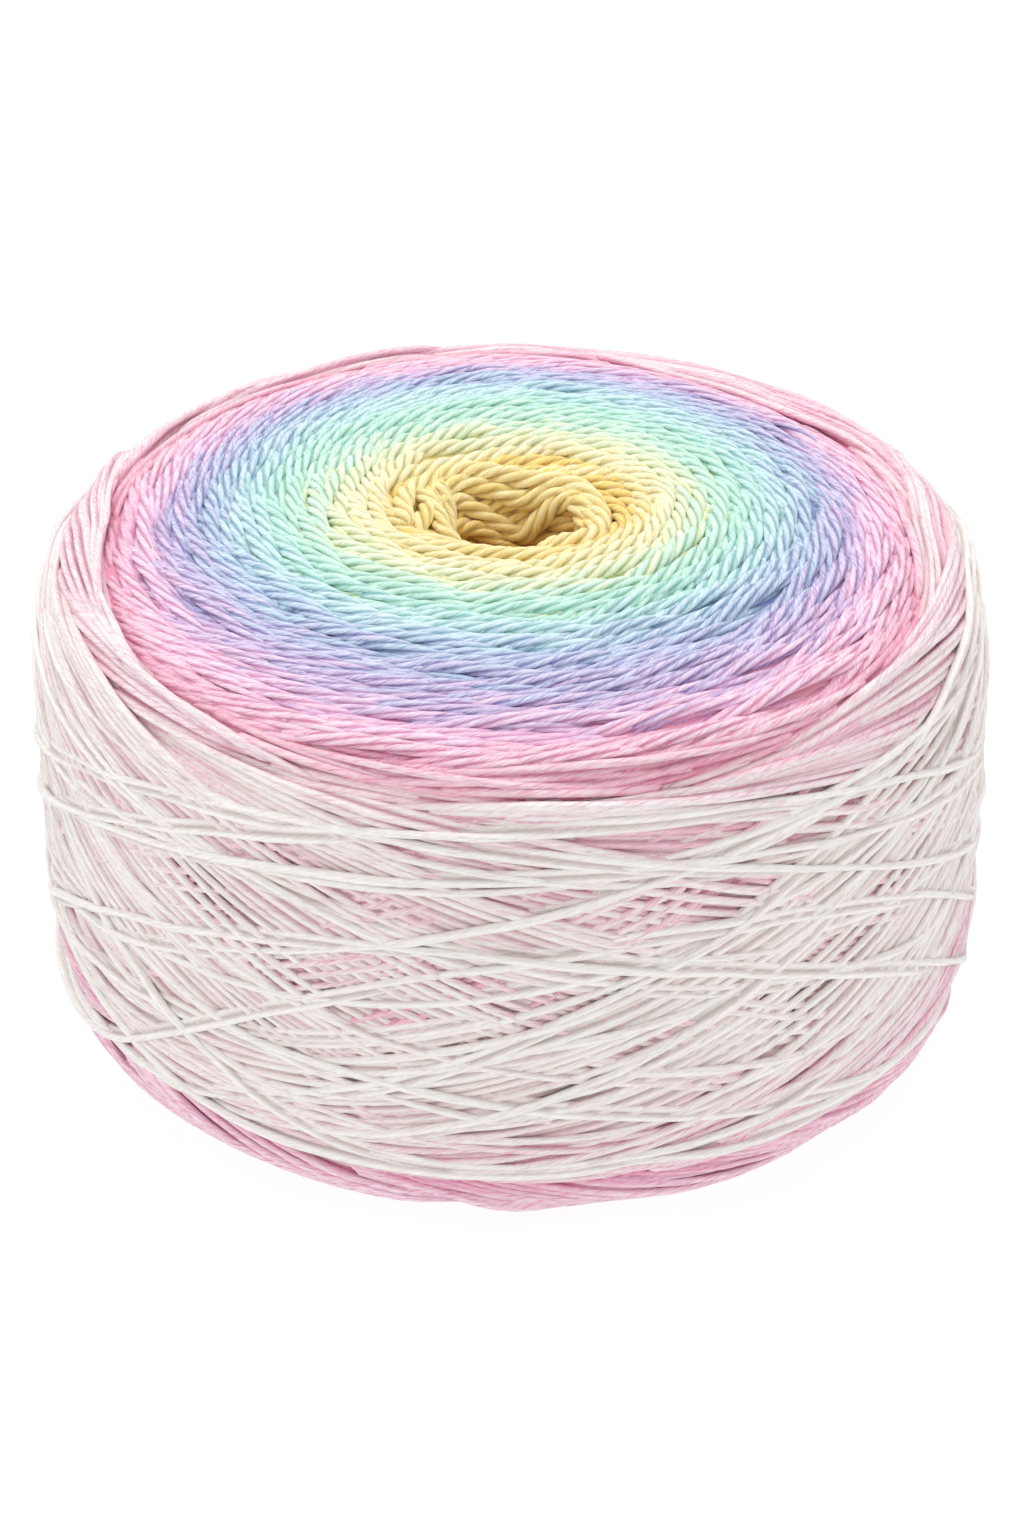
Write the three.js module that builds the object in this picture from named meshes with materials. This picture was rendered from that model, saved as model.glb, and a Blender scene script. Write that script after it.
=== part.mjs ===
// A cake of gradient yarn: one soft, squat drum of wound strand.
// It has rounded shoulders, a blind pull-out well in its top and a flat foot.
// Millimetres, +Z up, the foot on z = 0, centred on the origin.

import * as THREE from "three";

// Driving dimensions
const DIAMETER = 150;
const HEIGHT = 87;
const LEAN = 0.008; // sideways drift towards -X for each millimetre of height
const PROUD = 1.1; // how far the main wraps stand out of the body
const WRAP_WIDTH = 7.6; // full width of one raised wrap, a bundle of about three lies

// Flat foot, and the shallow dimple where the winding's hole comes out below
const FOOT_INNER = 16;
const DIMPLE = [
  { r: 5, rise: 3 },
  { r: 11, rise: 1 },
];
const DIMPLE_TOP = 3.4;

// Outline of half a section, from the foot out, up the side, in and down the well.
// inset is measured in from the widest radius, rise up from the foot, drop down from the top.
const LOWER_HALF = [
  { inset: 13, rise: 0 },
  { inset: 9, rise: 0.3 },
  { inset: 5.2, rise: 2 },
  { inset: 2.4, rise: 5.6 },
  { inset: 0.8, rise: 11.5 },
  { inset: 0.1, rise: 20 },
  { inset: 0, rise: 30 },
];
const UPPER_HALF = [
  { inset: 0, drop: 28 },
  { inset: 0.5, drop: 19 },
  { inset: 1.4, drop: 13.5 },
  { inset: 2.8, drop: 9.2 },
  { inset: 4.8, drop: 6.2 },
  { inset: 8.5, drop: 4.2 },
  { inset: 15, drop: 2.8 },
  { inset: 25, drop: 1.5 },
  { inset: 37, drop: 0.5 },
  { inset: 49, drop: 0 },
  { inset: 57.5, drop: 1 },
  { inset: 62.6, drop: 4.2 },
  { inset: 65.7, drop: 9.5 },
  { inset: 67.5, drop: 15.5 },
  { inset: 70.5, drop: 20 },
];
const WELL_FLOOR_DROP = 21;

// The well is pulled wider along X and sits a little off the axis
const WELL = { reach: 26, stretchX: 1.22, stretchY: 0.94, shiftX: 1.3, lobes: 3, lobeDepth: 0.06 };

// How finely the surface is divided
const COLUMNS = 72;
const ROW_STEP = 2.5;

// Main wraps of the outermost layers, tilted rings that cross on the side. Lengths are measured
// up the outline from the foot: middle is a ring's middle line, swing how far it climbs and dives.
const SIDE_WRAPS = { count: 12, middle: 50, swing: 39, swingSpread: 5, beat: 5 };

// Crests of the inner layers: rings of bowed arcs laid over each other on the top face.
// bow is the arc's fall in crest radii, halfSpan and turn are in degrees.
const CRESTS = { from: 97, wellMargin: 24, pitch: 7.2, arcs: 7, turn: 31, bow: 0.38, halfSpan: 42 };

const RADIUS = DIAMETER / 2;
const RELIEF_FADE = 9; // length over which the relief dies out beside the foot

const radians = THREE.MathUtils.degToRad;

function outline() {
  const lower = LOWER_HALF.map(({ inset, rise }) => new THREE.Vector3(RADIUS - inset, 0, rise));
  const upper = UPPER_HALF.map(({ inset, drop }) => new THREE.Vector3(RADIUS - inset, 0, HEIGHT - drop));
  return new THREE.CatmullRomCurve3([...lower, ...upper], false, "centripetal");
}

// Shortest difference between two directions, in radians between -PI and PI
function turnBetween(a, b) {
  return Math.atan2(Math.sin(a - b), Math.cos(a - b));
}

// A rounded ridge: 1 on the wrap's middle line, 0 half a width away
function ridge(distance) {
  const share = Math.min(Math.abs(distance) / (WRAP_WIDTH / 2), 1);
  return 0.5 + 0.5 * Math.cos(Math.PI * share);
}

// Height of the side's tilted rings, where along is the length from the foot
function sideWraps(azimuth, along) {
  let height = 0;
  for (let i = 0; i < SIDE_WRAPS.count; i++) {
    const phase = (2 * Math.PI * i) / SIDE_WRAPS.count;
    const swing = SIDE_WRAPS.swing + SIDE_WRAPS.swingSpread * Math.cos(SIDE_WRAPS.beat * phase);
    const middle = SIDE_WRAPS.middle + swing * Math.cos(azimuth - phase);
    const slope = (swing * Math.sin(azimuth - phase)) / RADIUS;
    height = Math.max(height, ridge((along - middle) * Math.cos(Math.atan(slope))));
  }
  return height;
}

// Where the crests lie: the length along the outline and the radius there, ring by ring
function crestRings(curve) {
  const length = curve.getLength();
  const found = [];
  for (let along = CRESTS.from; along < length - CRESTS.wellMargin; along += CRESTS.pitch) {
    found.push({ along, radius: curve.getPointAt(along / length).x });
  }
  return found;
}

// Height of the crest arcs on the top face, bowed like slices of tilted rings
function crestArcs(azimuth, along, rings) {
  let height = 0;
  rings.forEach((ring, index) => {
    for (let arc = 0; arc < CRESTS.arcs; arc++) {
      const phase = (2 * Math.PI * arc) / CRESTS.arcs + radians(CRESTS.turn * index);
      const turn = turnBetween(azimuth, phase);
      const reach = Math.abs(turn) / radians(CRESTS.halfSpan);
      if (reach < 1) {
        const crest = ring.along - CRESTS.bow * ring.radius * (1 - Math.cos(turn));
        height = Math.max(height, ridge(along - crest) * Math.cos((Math.PI / 2) * reach ** 3));
      }
    }
  });
  return height;
}

// One row of points round the axis for each step along the outline
function rows() {
  const curve = outline();
  const length = curve.getLength();
  const steps = Math.round(length / ROW_STEP);
  const crests = crestRings(curve);
  const found = [];
  for (let step = 0; step <= steps; step++) {
    const share = step / steps;
    const along = share * length;
    const point = curve.getPointAt(share);
    const tangent = curve.getTangentAt(share);
    const fade = THREE.MathUtils.smoothstep(along, 0, RELIEF_FADE);
    const row = [];
    for (let column = 0; column < COLUMNS; column++) {
      const azimuth = (2 * Math.PI * (column + 0.5)) / COLUMNS;
      const wraps = Math.max(sideWraps(azimuth, along), crestArcs(azimuth, along, crests));
      const out = PROUD * fade * (wraps - 1);
      row.push(place(point.x + out * tangent.z, point.z - out * tangent.x, azimuth));
    }
    found.push(row);
  }
  return found;
}

// A point of the surface from its radius, height and direction, with the well's pull and the lean
function place(r, z, azimuth) {
  const pull = z > HEIGHT / 2 ? 1 - THREE.MathUtils.smoothstep(r, WELL.reach / 2, WELL.reach) : 0;
  const lobe = 1 + WELL.lobeDepth * pull * Math.cos(WELL.lobes * azimuth + 1);
  const stretchX = 1 + (WELL.stretchX - 1) * pull;
  const stretchY = 1 + (WELL.stretchY - 1) * pull;
  const x = r * lobe * stretchX * Math.cos(azimuth) + WELL.shiftX * pull - LEAN * z;
  const y = r * lobe * stretchY * Math.sin(azimuth);
  return [x, y, z];
}

function ringAt(r, z) {
  return Array.from({ length: COLUMNS }, (_, column) =>
    place(r, z, (2 * Math.PI * (column + 0.5)) / COLUMNS),
  );
}

// The closed skin: a pole, the rows from the dimple to the well's floor, and a pole
function cakeGeometry() {
  const body = [
    ...DIMPLE.map(({ r, rise }) => ringAt(r, rise)),
    ringAt(FOOT_INNER, 0),
    ...rows(),
  ];
  const top = [WELL.shiftX - LEAN * HEIGHT, 0, HEIGHT - WELL_FLOOR_DROP];
  const points = [[0, 0, DIMPLE_TOP], ...body.flat(), top];
  const faces = [];
  const at = (row, column) => 1 + row * COLUMNS + (column % COLUMNS);
  for (let column = 0; column < COLUMNS; column++) {
    faces.push(0, at(0, column + 1), at(0, column));
    for (let row = 0; row < body.length - 1; row++) {
      faces.push(at(row, column), at(row, column + 1), at(row + 1, column + 1));
      faces.push(at(row, column), at(row + 1, column + 1), at(row + 1, column));
    }
    const last = body.length - 1;
    faces.push(at(last, column), at(last, column + 1), points.length - 1);
  }
  const geometry = new THREE.BufferGeometry();
  geometry.setAttribute("position", new THREE.Float32BufferAttribute(points.flat(), 3));
  geometry.setIndex(faces);
  geometry.computeBoundingBox();
  const middle = geometry.boundingBox.getCenter(new THREE.Vector3());
  geometry.translate(-middle.x, -middle.y, 0);
  geometry.computeVertexNormals();
  return geometry;
}

function yarnMaterial() {
  return new THREE.MeshStandardMaterial({ color: 0xe6dfe0, roughness: 0.95, metalness: 0 });
}

const cake = new THREE.Group();
const yarn = new THREE.Mesh(cakeGeometry(), yarnMaterial());
yarn.name = "yarn_cake";
cake.add(yarn);

export default cake;
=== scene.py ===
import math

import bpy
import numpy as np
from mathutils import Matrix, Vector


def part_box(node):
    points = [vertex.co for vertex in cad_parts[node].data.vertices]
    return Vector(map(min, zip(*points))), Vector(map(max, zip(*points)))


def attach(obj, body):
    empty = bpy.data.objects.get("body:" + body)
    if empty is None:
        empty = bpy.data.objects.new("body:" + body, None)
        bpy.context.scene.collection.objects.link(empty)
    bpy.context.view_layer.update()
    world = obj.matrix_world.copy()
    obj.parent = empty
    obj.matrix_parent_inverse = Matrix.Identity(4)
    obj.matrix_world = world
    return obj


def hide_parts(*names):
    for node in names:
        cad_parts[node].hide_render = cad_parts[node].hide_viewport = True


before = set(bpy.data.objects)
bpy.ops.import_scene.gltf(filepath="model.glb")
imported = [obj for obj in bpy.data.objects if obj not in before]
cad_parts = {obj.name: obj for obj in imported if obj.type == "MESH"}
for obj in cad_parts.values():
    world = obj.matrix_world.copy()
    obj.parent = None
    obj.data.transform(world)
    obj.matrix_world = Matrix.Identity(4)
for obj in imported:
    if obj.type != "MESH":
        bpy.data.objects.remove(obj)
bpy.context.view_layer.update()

# %% [markdown]
# # A cake of gradient yarn
# The real thing is one long strand of four plies. A ball winder lays it in tilted rings, from the middle
# outwards, while the dye changes slowly from gold to white. This lesson winds it the same way: every ring
# is a formula, and every crossing is settled by what was laid before it.

MM = 0.001
low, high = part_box("yarn_cake")
RADIUS = (high.x - low.x) / 2 / MM
HEIGHT = (high.z - low.z) / MM
print(f"the cake is {2 * RADIUS:.1f} mm across and {HEIGHT:.1f} mm high")

# %% [markdown]
# ## The outline
# The winding follows one outline: a shallow dimple, a flat foot, the side, two rounded shoulders, a
# nearly flat top and a well. A lathe tool could turn it, but the strand needs places on it, so the
# outline becomes a table that is read by the length along it.

# %% Outline of the wound body
# Columns: inset from the widest radius, height above the foot. The second table has drops from the top.
LOWER_OUTLINE = [(75, 3.4), (70, 3.0), (64, 1.0), (59, 0), (45, 0), (25, 0), (13, 0), (9, 0.3),
                 (5.2, 2.0), (2.4, 5.6), (0.8, 11.5), (0.1, 20), (0, 30)]
UPPER_OUTLINE = [(0, 28), (0.6, 19), (1.7, 13.8), (3.3, 9.8), (5.5, 7.0), (9.2, 5.1), (15, 3.6), (25, 2.0),
                 (37, 0.5), (49, 0), (57.5, 1), (62.6, 4.2), (65.7, 9.5), (67.5, 15.5), (70.5, 20), (75, 21)]
STEP = 0.5      # mm from one row of the outline's table to the next
FINE = 4000     # points that a curve is measured with


def curve_through(points, step):
    """Points an even step apart on a smooth curve: between two points the curve is the cubic whose ends
    have the slopes that their neighbours give, with the chord's length as the parameter."""
    points = np.asarray(points, float)
    knots = np.r_[0, np.cumsum(np.linalg.norm(np.diff(points, axis=0), axis=1))]
    slopes = np.gradient(points, knots, axis=0)
    fine = np.linspace(0, knots[-1], FINE)
    i = np.clip(np.searchsorted(knots, fine, side="right") - 1, 0, len(knots) - 2)
    gap = (knots[i + 1] - knots[i])[:, None]
    t = ((fine - knots[i]) / gap[:, 0])[:, None]
    curve = ((2 * t**3 - 3 * t**2 + 1) * points[i] + (t**3 - 2 * t**2 + t) * gap * slopes[i]
             + (3 * t**2 - 2 * t**3) * points[i + 1] + (t**3 - t**2) * gap * slopes[i + 1])
    length = np.r_[0, np.cumsum(np.linalg.norm(np.diff(curve, axis=0), axis=1))]
    even = np.linspace(0, length[-1], int(length[-1] / step) + 1)
    return np.stack([np.interp(even, length, curve[:, k]) for k in range(curve.shape[1])], 1), even


def smooth_step(value, start, end):
    """0 before start, 1 after end, and 3t^2 - 2t^3 between them."""
    t = np.clip((value - start) / (end - start), 0, 1)
    return t * t * (3 - 2 * t)


corners = [(RADIUS - inset, rise) for inset, rise in LOWER_OUTLINE]
corners += [(RADIUS - inset, HEIGHT - drop) for inset, drop in UPPER_OUTLINE]
outline, along_table = curve_through(corners, STEP)
outline = np.maximum(outline, 0)
slope = np.gradient(outline, along_table, axis=0)
slope /= np.linalg.norm(slope, axis=1)[:, None]
LENGTH = along_table[-1]
WIDEST = along_table[np.argmax(outline[:, 0])]
print(f"the outline is {LENGTH:.1f} mm long, and widest at {WIDEST:.1f} mm")

# %% [markdown]
# ## Places on the cake
# A point on the cake is a length along the outline and a turn about the axis, pulled by the well and
# leaning as a handled cake does. A Lattice modifier could bend a finished mesh too, but a formula keeps the
# strands round.

# %% Places
LEAN = 0.008    # sideways drift towards -X for each mm of height
WELL_REACH, WELL_SHIFT = 26, 1.3    # radius in which the well's pull is felt, and its offset, in mm
WELL_STRETCH_X, WELL_STRETCH_Y = 1.22, 0.94
TOP_START, FOOT_START = 13.0, 9.0   # radius of the first crests at the well and round the dimple
ABOVE_FLOOR = 0.05  # lowest place of a path, in mm


def radius_at(along):
    """The outline's radius at a length along it."""
    return np.interp(along, along_table, outline[:, 0])


def top_along(radius):
    """Where the upper half of the outline has this radius."""
    half = along_table > WIDEST
    return np.interp(-radius, -outline[half, 0], along_table[half])


def foot_along(radius):
    """Where the lower half of the outline has this radius."""
    half = along_table <= WIDEST
    return np.interp(radius, outline[half, 0], along_table[half])


def place(along, turn, lift):
    """The point at a length along the outline and a turn about the axis, lifted along the outline's normal.
    Turn 0 faces the camera and grows to the right."""
    r = radius_at(along) + lift * np.interp(along, along_table, slope[:, 1])
    z = np.interp(along, along_table, outline[:, 1]) - lift * np.interp(along, along_table, slope[:, 0])
    pull = (z > HEIGHT / 2) * (1 - smooth_step(r, WELL_REACH / 2, WELL_REACH))
    x = r * (1 + (WELL_STRETCH_X - 1) * pull) * np.sin(turn) + WELL_SHIFT * pull - LEAN * (z - HEIGHT / 2)
    y = -r * (1 + (WELL_STRETCH_Y - 1) * pull) * np.cos(turn)
    return np.stack([x, y, np.maximum(z, ABOVE_FLOOR)], -1)


print("the front of the well's rim is at", np.round(place(top_along(TOP_START), 0, 0), 1), "mm")

# %% [markdown]
# ## Laying strand on strand
# A strand rests on what lies under it, bridges small gaps because it is taut, and raises the pile for
# the next one. A rope simulation of 400 m of yarn is out of reach, so the pile is a height map over the
# outline, with rows along it and columns round the axis.

# %% The pile
COLUMNS = 900
rng = np.random.default_rng(11)
pile = np.zeros((len(along_table), COLUMNS))
strands = []
print(f"the pile has {len(pile)} rows and {COLUMNS} columns")


def footprint(along, turn, width, offsets):
    """Rows and columns of the pile under a strand: for each offset across it, the cell beside the path."""
    d_along = np.gradient(along)
    d_round = np.gradient(turn) * radius_at(along)
    size = np.hypot(d_along, d_round) + 1e-9
    sideways = offsets[None, :] * width[:, None] / 2
    row = (along[:, None] - sideways * (d_round / size)[:, None]) / STEP
    angle = turn[:, None] + sideways * (d_along / size)[:, None] / np.maximum(radius_at(along), 3)[:, None]
    column = np.round(angle / (2 * np.pi) * COLUMNS).astype(int) % COLUMNS
    return np.clip(np.round(row), 0, len(along_table) - 1).astype(int), column


def blurred(values, steps, sigma):
    """Values along a path after a bell-shaped average that is sigma long."""
    reach = max(int(3 * sigma / steps), 1)
    bell = np.exp(-0.5 * (np.arange(-reach, reach + 1) * steps / sigma) ** 2)
    return np.convolve(np.pad(values, reach, mode="edge"), bell / bell.sum(), mode="valid")


# %% [markdown]
# ## How a taut strand comes to rest
# A taut strand touches only the high places below it, and sinks into them a little. A Shrinkwrap modifier
# would press it into every gap. Here it is drawn straight many times, and what lies under it pushes it up.

# %% Lay a strand
SOFT = 0.42     # share of its thickness that a strand sinks into what it crosses
BEND = 1 / 60   # the drum's curvature, which draws a bridging strand down
HIGHEST_COUNTS = 0.6    # weight of the highest cell under a strand, against the mean
UNDER = np.linspace(-0.7, 0.7, 5)   # where across its width a strand is held up
ACROSS = np.linspace(-1, 1, 13)     # where it is written into the pile
TIGHTENING = 60     # how often a strand is drawn straight
STIFF = 1.6     # mm of a strand over which its height is averaged


def lay(along, turn, width, thick, dye, tail=0, **looks):
    """Lay a strand on the pile: each point is at least the mean of its neighbours less the drum's curve, and
    never below its support. The last points, as many as tail, are left to the next round."""
    path_step = np.mean(np.hypot(np.diff(along), np.diff(turn) * radius_at(along[1:])))
    rows, cols = footprint(along, turn, width, UNDER)
    under = pile[rows, cols]
    support = HIGHEST_COUNTS * under.max(1) + (1 - HIGHEST_COUNTS) * under.mean(1)
    height = support.copy()
    for _ in range(TIGHTENING):
        middle = 0.5 * (height[:-2] + height[2:]) - 0.5 * BEND * path_step**2
        height[1:-1] = np.maximum(support[1:-1], middle)
    height = blurred(height, path_step, STIFF) + (0.5 - SOFT) * thick
    rows, cols = footprint(along, turn, width, ACROSS)
    top = height[:, None] + 0.5 * thick[:, None] * np.sqrt(np.clip(1 - ACROSS**2, 0, 1))[None, :]
    own = slice(0, len(along) - tail)
    np.maximum.at(pile, (rows[own], cols[own]), top[own])
    strands.append(dict(along=along, turn=turn, width=width, thick=thick, height=height, dye=dye,
                        step=path_step, **looks))


# %% [markdown]
# ## Settling the pile on the outline
# The pile grows fastest where strands turn back. A real winding yields and settles there. So its slow
# swell is averaged out and taken away, again and again: the surface stays on the outline, and single
# strands keep their relief.

# %% Settle the pile
SWELL = 4.5     # mm over which the pile is averaged


def swell(values, sigma):
    """The pile after a bell-shaped average in both directions, with the bell as wide in mm everywhere."""
    waves = np.fft.rfft(values, axis=1)
    order = np.arange(waves.shape[1])[None, :]
    spread = sigma / np.maximum(outline[:, 0], 4)[:, None]
    round_mean = np.fft.irfft(waves * np.exp(-0.5 * (order * spread) ** 2), COLUMNS, axis=1)
    gap = (along_table[:, None] - along_table[None, :]) / sigma
    bell = np.exp(-0.5 * gap**2)
    return (bell / bell.sum(1)[:, None]) @ round_mean


def read_grid(values, along, turn):
    """Values of a grid over the outline at some points, weighed between the four nearest cells."""
    row = np.clip(along / STEP, 0, len(along_table) - 1.001)
    column = turn / math.tau * COLUMNS
    i, j = row.astype(int), np.floor(column).astype(int)
    down, across = row - i, column - j
    near, far = j % COLUMNS, (j + 1) % COLUMNS
    first = values[i, near] * (1 - across) + values[i, far] * across
    second = values[i + 1, near] * (1 - across) + values[i + 1, far] * across
    return first * (1 - down) + second * down


def settle():
    """Take the pile's swell away from the pile, and from the strands that lie in it."""
    base = swell(pile, SWELL)
    pile[:] -= base
    for strand in strands:
        strand["height"] -= read_grid(base, strand["along"], strand["turn"])


# %% [markdown]
# ## The crests on the two faces
# Of each inner ring only the crest shows: a short arc on the top, and its twin on the foot, which fall away
# at both ends, where later rings cover them. Turning each ring by the golden angle from the last spreads
# them evenly, as a winder's gears do, and a little noise keeps them human.

# %% Plan the inner layers
PINK = 65.0     # the dye of the last crests, before the strand turns white
EDGE_LAG, WELL_LAG = 9, 3.5     # how far the dye lags near the edge in front and near the well, in mm
# Columns: crest radius, strand width, distance between layers, length of an arc that stays in view
LAYERS = np.array([(4.5, 3.2, 2.4, 60), (14, 3.2, 2.3, 52), (22, 3.0, 1.4, 42), (32, 2.7, 1.5, 34),
                   (45, 2.5, 1.3, 31), (58, 2.35, 1.1, 33), (70, 2.3, 1.0, 36)])


def beside(turn):
    """0 in front, growing as 1 - cos(turn) to 1 at both sides, and 1 behind."""
    return 1 - np.maximum(np.cos(turn), 0)


def face_dye(radius, turn):
    """The dye of a crest: its radius less a lag, which is EDGE_LAG beyond 66 mm in front, and
    WELL_LAG * cos(turn) within 22 mm of the axis."""
    lag = EDGE_LAG * (1 - beside(turn)) * smooth_step(radius, 44, 66)
    lag = lag + WELL_LAG * np.cos(turn) * (1 - smooth_step(radius, 22, 42))
    return np.minimum(radius - lag, PINK)


def layer(radius):
    """Strand width, layer distance and arc length at a crest radius."""
    return [np.interp(radius, LAYERS[:, 0], LAYERS[:, k]) for k in (1, 2, 3)]


print("width, distance and arc half way out:", np.round(layer(RADIUS / 2), 1))

# %% [markdown]
# ## One crest
# Seen from above, the crest of a tilted ring is an arc that falls away at both ends. A Bezier curve with
# three handles would do for one arc, but hundreds of them, each a little different, need a formula.

# %% One crest
BOW, BOW_SPREAD = 0.56, 0.08    # how fast an arc falls, in crest radii, and how much that varies
SKEW = 0.010    # how much an arc may lie askew, in crest radii
WAVE, WAVE_LENGTH = 0.15, 9     # height of an arc's slow wave, and the length of a radian of it, in mm
CREST_STEP, FEWEST_POINTS = 0.5, 16     # mm between points, and their least number
ANY_TURN = (0, 6.28)


def crest_arc(crest, phase, radius, outwards, half_span, width):
    """One arc: along = crest + outwards * bow * radius * (1 - cos a) + skew * sin a, a from -span to span."""
    points = max(int(2 * half_span * radius / CREST_STEP), FEWEST_POINTS)
    a = np.linspace(-half_span, half_span, points)
    skew = rng.normal(0, SKEW) * radius
    wave = rng.normal(0, WAVE) * np.sin(a * radius / WAVE_LENGTH + rng.uniform(*ANY_TURN))
    bow = BOW * (1 + rng.normal(0, BOW_SPREAD)) * radius
    along = crest + outwards * bow * (1 - np.cos(a)) + skew * np.sin(a) + wave
    return along, phase + a, np.full(points, width)


# %% [markdown]
# ## Winding the two faces
# The crests are laid from the hole outwards, so each covers the ends of those before it. An Array modifier
# would repeat them too evenly. Here each arc takes its share of a ring, and the crest moves out by that
# share of the distance between two layers.

# %% Wind the two faces
GOLDEN = math.pi * (3 - math.sqrt(5))
TURN_SPREAD = 0.12  # how much the turn from one ring to the next varies, in radians
CREST_SPREAD, WIDTH_RANGE = 0.2, (0.94, 1.06)
COVERED, LEAST_COSINE, MOST_SPAN = 4.5, -0.2, 2.2   # how far an arc's ends fall in mm, and its limits
BOLD_WITHIN = 36    # radius within which the top's plies get more points
TOP_EDGE, TOP_RISE = 19.0, 12.0   # where the top's crests end, above the widest line, and their rise beside
FOOT_EDGE = 50.0    # where the foot's crests end, below the widest line
# Radii, and at each the thickness as a share of the width, or the length of one twist in mm
FLATTENED = ([20, 70], [0.92, 0.72])
TWIST_LENGTH = ([15, 25, 45, 70], [14.5, 15, 21, 29])
TOP_BANDS = [(25, "gold_crests"), (40, "mint_crests"), (54, "blue_crests"), (90, "pink_crests")]
FOOT_BANDS = [(34, "foot_middle"), (90, "foot_crests")]


def wind_face(start, outwards, bands, edge, thin=1.0, gap=(1.0, 1.0)):
    """Wind crest arcs outwards to the edge, and count them. thin is a share of the usual thickness, and gap
    of the usual distance, within 45 mm and beyond 65 mm."""
    crest, phase, count = start, rng.uniform(*ANY_TURN), 0
    while outwards * (crest - edge(0)) < 0:
        radius = float(radius_at(crest))
        width, distance, view = layer(radius)
        fall = math.acos(max(1 - COVERED / (BOW * radius), LEAST_COSINE))
        half_span = min(0.5 * view / radius + fall, MOST_SPAN)
        if outwards * (crest - edge(phase)) < 0:
            arc_crest, wide = crest + rng.normal(0, CREST_SPREAD), width * rng.uniform(*WIDTH_RANGE)
            along, turn, wide = crest_arc(arc_crest, phase, radius, outwards, half_span, wide)
            lay(along, turn, wide, wide * thin * np.interp(radius, *FLATTENED),
                kind="bold rope" if outwards < 0 and radius < BOLD_WITHIN else "rope",
                dye=face_dye(radius, turn),
                piece=next(name for limit, name in bands if radius < limit),
                lay_length=np.interp(radius, *TWIST_LENGTH))
            count += 1
        crest += outwards * np.interp(radius, [45, 65], gap) * distance * view / (2 * np.pi * radius)
        phase += GOLDEN + rng.normal(0, TURN_SPREAD)
    return count


def top_edge(turn):
    """Where the crests of the top end: lowest in front, where white layers begin below them."""
    return WIDEST + TOP_EDGE + TOP_RISE * beside(turn)


def foot_edge(turn):
    """Where the crests of the foot end: at the same length all round."""
    return WIDEST - FOOT_EDGE


top_count = wind_face(top_along(TOP_START), -1, TOP_BANDS, top_edge)
foot_count = wind_face(foot_along(FOOT_START), 1, FOOT_BANDS, foot_edge, thin=0.8, gap=(1.25, 1.2))
settle()
print(f"{top_count} crests on the top face and {foot_count} on the foot")

# %% [markdown]
# ## The rings that cross on the side
# The outer layers are one strand: a tilted ring that turns a little with each round, so that
# along = middle + swing * cos(turn - phase). Its halves climb and dive across the side, which gives the
# lattice. A slow turn lays each round beside the one before and closes the layer. A turn by the golden
# angle spreads the rounds apart, and the closed layers show through the gaps.

# %% Stages of the outer layers
# advance is how far the ring turns with each round, and first where it starts. top and foot are where its
# crests lie in front at the start and at the end, in mm above and below the widest line. rise is how much
# higher they lie beside and behind.
SIDE_STAGES = [
    dict(rounds=60, advance=GOLDEN, first=0, top=(31, 25), foot=(55, 50), rise=(10, 0), dye=(64, 65.5)),
    dict(rounds=90, advance=math.tau / 90, first=math.pi / 2, top=(28, 25), foot=(50, 43), rise=(10, 4),
         dye=(65.5, 69)),
    dict(rounds=84, advance=-math.tau / 84, first=math.pi / 2, top=(26, 14), foot=(46, 34), rise=(10, 12),
         dye=(66.5, 74.2)),
    dict(rounds=9, advance=GOLDEN, first=1, top=(20, 12), foot=(39, 32), rise=(9, 12), dye=(72, 75)),
]
PAIR_WIDTH = 2.7
PRESSED = 0.4   # thickness of a pressed pair as a share of its width
SLOW_DRIFT = (4.0, 1.9)   # rounds from one random value to the next, and the spread of the values in mm
QUICK_DRIFT = (0.7, 0.35)
PHASE_DRIFT = 0.01
PATH_STEP = 0.6     # mm between the points of a path
FOOT_LAG, FOOT_RANGE = 6.0, (-46, -16)  # how much earlier the dye is at the foot, and where it catches up
FOOT_RISE = 8   # how much higher that range lies beside and behind


def drift(rounds, kind):
    """A smooth random drift: from one random value to the next it follows 3t^2 - 2t^3."""
    length, spread = kind
    values = rng.normal(0, spread, int(rounds[-1] / length) + 3)
    at = rounds / length
    i = at.astype(int)
    t = smooth_step(at - i, 0, 1)
    return values[i] * (1 - t) + values[i + 1] * t


def stage_path(stage):
    """The whole path of a stage: middle + swing * cos(turn - phase), with crests that drift a little."""
    rounds = np.linspace(0, stage["rounds"], int(stage["rounds"] * math.tau * RADIUS / PATH_STEP))
    share = rounds / stage["rounds"]
    turn = rounds * math.tau
    crests = []
    for sign, (start, end), rise in zip((1, -1), (stage["top"], stage["foot"]), stage["rise"]):
        crest = WIDEST + sign * start + share * (sign * (end - start))
        crest += drift(rounds, SLOW_DRIFT) + drift(rounds, QUICK_DRIFT)
        crests.append(crest + rise * beside(turn))
    upper, lower = crests
    phase = stage["first"] + rounds * stage["advance"] + PHASE_DRIFT * drift(rounds, SLOW_DRIFT)
    along = (upper + lower) / 2 + (upper - lower) / 2 * np.cos(turn - phase)
    above_foot = along - WIDEST - FOOT_RISE * beside(turn)
    lag = FOOT_LAG * (1 - smooth_step(above_foot, *FOOT_RANGE))
    dye = np.interp(rounds, [0, rounds[-1]], stage["dye"]) - lag
    return along, turn, dye


# %% [markdown]
# ## Winding round by round
# A stage is one strand that lies on its own earlier rounds, so it is laid a round at a time. Separate rings
# would be simpler, but their ends would show. Here two rounds overlap, and their heights are blended.

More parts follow.
